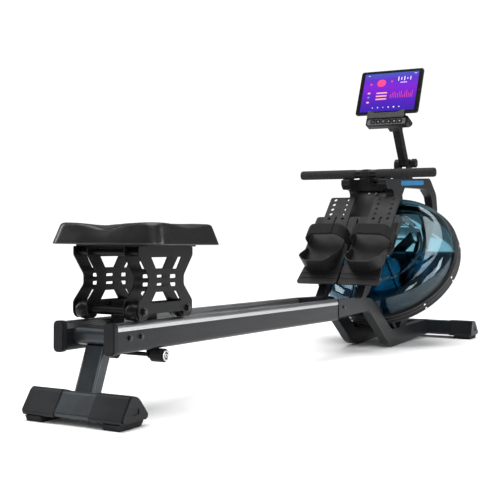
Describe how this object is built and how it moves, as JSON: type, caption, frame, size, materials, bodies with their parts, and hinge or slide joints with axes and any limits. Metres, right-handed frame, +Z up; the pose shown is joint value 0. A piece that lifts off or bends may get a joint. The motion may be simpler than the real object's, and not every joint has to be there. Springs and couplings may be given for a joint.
{
  "type": "rowing machine",
  "caption": "Water rowing machine with a wheeled seat on twin rails, a tilted clear water tank, pull handle, footrests with heel slides, and a tablet console.",
  "frame": {"origin": "on the floor at the centre of the machine's length and width", "axes": "+Y forward from the seat to the tank, +X to the rower's right, +Z up"},
  "size_m": [0.54, 2.1271, 1.0118],
  "materials": {
    "rail_grey": "satin anodised",
    "track_silver": "brushed",
    "foot_metal": "metallic satin",
    "frame_grey": "painted, satin",
    "black_plastic": "fine texture",
    "black_rubber": "matte",
    "steel": "turned",
    "screw_chrome": "bright",
    "plate_black": "satin",
    "seat_foam": "soft moulded foam skin",
    "wheel_black": "polyurethane",
    "clear_shell": "clear polycarbonate",
    "water_blue": "clear blue water",
    "strap_web": "woven",
    "grey_plastic": "fine texture",
    "key_grey": "matte",
    "tablet_glass": "glass front in a black shell",
    "grip_foam": "soft foam",
    "bungee_cord": "braided"
  },
  "bodies": {
    "frame": {"rails": "rail_grey", "running_tracks": "track_silver", "rail_cross_tube": "foot_metal", "rear_post": "foot_metal", "rear_foot_tube": "foot_metal", "end_caps": "black_plastic", "foot_pads": "black_rubber", "frame_bolts": "steel", "base_frames": "frame_grey", "arches": "frame_grey", "front_foot_tube": "foot_metal", "pulley_bracket": "plate_black", "tank_rear_shell": "clear_shell", "tank_front_shell": "clear_shell", "tank_ring": "black_plastic", "tank_gasket": "black_rubber", "ring_screws": "screw_chrome", "tank_brackets": "plate_black", "tank_water": "water_blue", "shaft_bearings": "steel", "bearing_mounts": "black_plastic", "drive_strap": "strap_web", "return_bungee": "bungee_cord", "pulley_axles": "steel", "foot_plates": "black_plastic", "foot_straps": "strap_web", "footrest_bars": "plate_black", "front_cover": "black_plastic", "top_cover": "black_plastic", "handle_rests": "black_rubber", "console_base": "black_plastic"},
    "seat_carriage": {"outer_plates": "plate_black", "inner_plates": "plate_black", "wheel_axles": "steel", "spacer_tubes": "plate_black", "seat_pan": "black_plastic", "seat_pad": "seat_foam", "roller_hangers": "plate_black"},
    "rear_wheels": {"rear_wheels": "wheel_black"},
    "front_wheels": {"front_wheels": "wheel_black"},
    "lower_rollers": {"lower_rollers": "grey_plastic"},
    "impeller": {"impeller": "black_plastic", "impeller_shaft": "steel"},
    "strap_drum": {"strap_drum": "grey_plastic"},
    "guide_roller": {"guide_roller": "grey_plastic"},
    "bungee_pulley": {"bungee_pulley": "grey_plastic"},
    "left_heel_slide": {"left_heel_slide": "black_plastic"},
    "right_heel_slide": {"right_heel_slide": "black_plastic"},
    "handle": {"handle_bar": "plate_black", "handle_grips": "grip_foam"},
    "console_mast": {"console_post": "black_plastic", "console_box": "black_plastic"},
    "clamp_knob": {"clamp_knob": "black_plastic"},
    "tablet": {"tablet": "tablet_glass"},
    "key_1": {"key_1": "key_grey"},
    "key_2": {"key_2": "key_grey"},
    "key_3": {"key_3": "key_grey"},
    "key_4": {"key_4": "key_grey"},
    "key_5": {"key_5": "key_grey"},
    "key_6": {"key_6": "key_grey"}
  },
  "joints": [
    {"name": "seat_slide", "type": "slide", "parent": "frame", "child": "seat_carriage", "axis": [0, 0.9998, -0.0175], "range_m": [-0.05, 0.8]},
    {"name": "rear_wheel_spin", "type": "hinge", "parent": "seat_carriage", "child": "rear_wheels", "pos_m": [0, -0.92145, 0.23967], "axis": [1, 0, 0], "continuous": true},
    {"name": "front_wheel_spin", "type": "hinge", "parent": "seat_carriage", "child": "front_wheels", "pos_m": [0, -0.74547, 0.23659], "axis": [1, 0, 0], "continuous": true},
    {"name": "lower_roller_spin", "type": "hinge", "parent": "seat_carriage", "child": "lower_rollers", "pos_m": [0, -0.82931, 0.13219], "axis": [1, 0, 0], "continuous": true},
    {"name": "impeller_spin", "type": "hinge", "parent": "frame", "child": "impeller", "pos_m": [0, 0.75147, 0.29514], "axis": [0, -0.766, 0.6428], "continuous": true},
    {"name": "handle_pull", "type": "slide", "parent": "frame", "child": "handle", "axis": [0, -0.9955, 0.0948], "range_m": [0, 1.15], "deforming": ["drive_strap", "return_bungee"]},
    {"name": "drum_spin", "type": "hinge", "parent": "frame", "child": "strap_drum", "pos_m": [0, 0.56532, 0.45134], "axis": [0, -0.766, 0.6428], "continuous": true},
    {"name": "guide_roller_spin", "type": "hinge", "parent": "frame", "child": "guide_roller", "pos_m": [0, 0.65148, 0.5618], "axis": [1, 0, 0], "continuous": true},
    {"name": "bungee_pulley_spin", "type": "hinge", "parent": "frame", "child": "bungee_pulley", "pos_m": [0, 0.3696, 0.146], "axis": [1, 0, 0], "continuous": true},
    {"name": "left_heel_adjust", "type": "slide", "parent": "frame", "child": "left_heel_slide", "axis": [0, 0.6428, 0.766], "range_m": [-0.03, 0.03]},
    {"name": "right_heel_adjust", "type": "slide", "parent": "frame", "child": "right_heel_slide", "axis": [0, 0.6428, 0.766], "range_m": [-0.03, 0.03]},
    {"name": "console_tilt", "type": "hinge", "parent": "frame", "child": "console_mast", "pos_m": [0, 0.9196, 0.67], "axis": [1, 0, 0], "range_deg": [-15, 15]},
    {"name": "clamp_knob_turn", "type": "hinge", "parent": "frame", "child": "clamp_knob", "pos_m": [0, 0.9196, 0.67], "axis": [1, 0, 0], "range_deg": [0, 360]},
    {"name": "tablet_lift", "type": "slide", "parent": "console_mast", "child": "tablet", "axis": [0, 0.3746, 0.9272], "range_m": [0, 0.12]},
    {"name": "key_1_press", "type": "slide", "parent": "console_mast", "child": "key_1", "axis": [0, 0.9272, -0.3746], "range_m": [0, 0.0012], "stiffness_N_per_m": 400},
    {"name": "key_2_press", "type": "slide", "parent": "console_mast", "child": "key_2", "axis": [0, 0.9272, -0.3746], "range_m": [0, 0.0012], "stiffness_N_per_m": 400},
    {"name": "key_3_press", "type": "slide", "parent": "console_mast", "child": "key_3", "axis": [0, 0.9272, -0.3746], "range_m": [0, 0.0012], "stiffness_N_per_m": 400},
    {"name": "key_4_press", "type": "slide", "parent": "console_mast", "child": "key_4", "axis": [0, 0.9272, -0.3746], "range_m": [0, 0.0012], "stiffness_N_per_m": 400},
    {"name": "key_5_press", "type": "slide", "parent": "console_mast", "child": "key_5", "axis": [0, 0.9272, -0.3746], "range_m": [0, 0.0012], "stiffness_N_per_m": 400},
    {"name": "key_6_press", "type": "slide", "parent": "console_mast", "child": "key_6", "axis": [0, 0.9272, -0.3746], "range_m": [0, 0.0012], "stiffness_N_per_m": 400}
  ],
  "couplings": [
    {"joint": "rear_wheel_spin", "follows": "seat_slide", "rad_per_m": -45.455},
    {"joint": "front_wheel_spin", "follows": "seat_slide", "rad_per_m": -45.455},
    {"joint": "drum_spin", "follows": "handle_pull", "rad_per_m": 25},
    {"joint": "guide_roller_spin", "follows": "handle_pull", "rad_per_m": 63.291},
    {"joint": "bungee_pulley_spin", "follows": "handle_pull", "rad_per_m": 23.156}
  ]
}
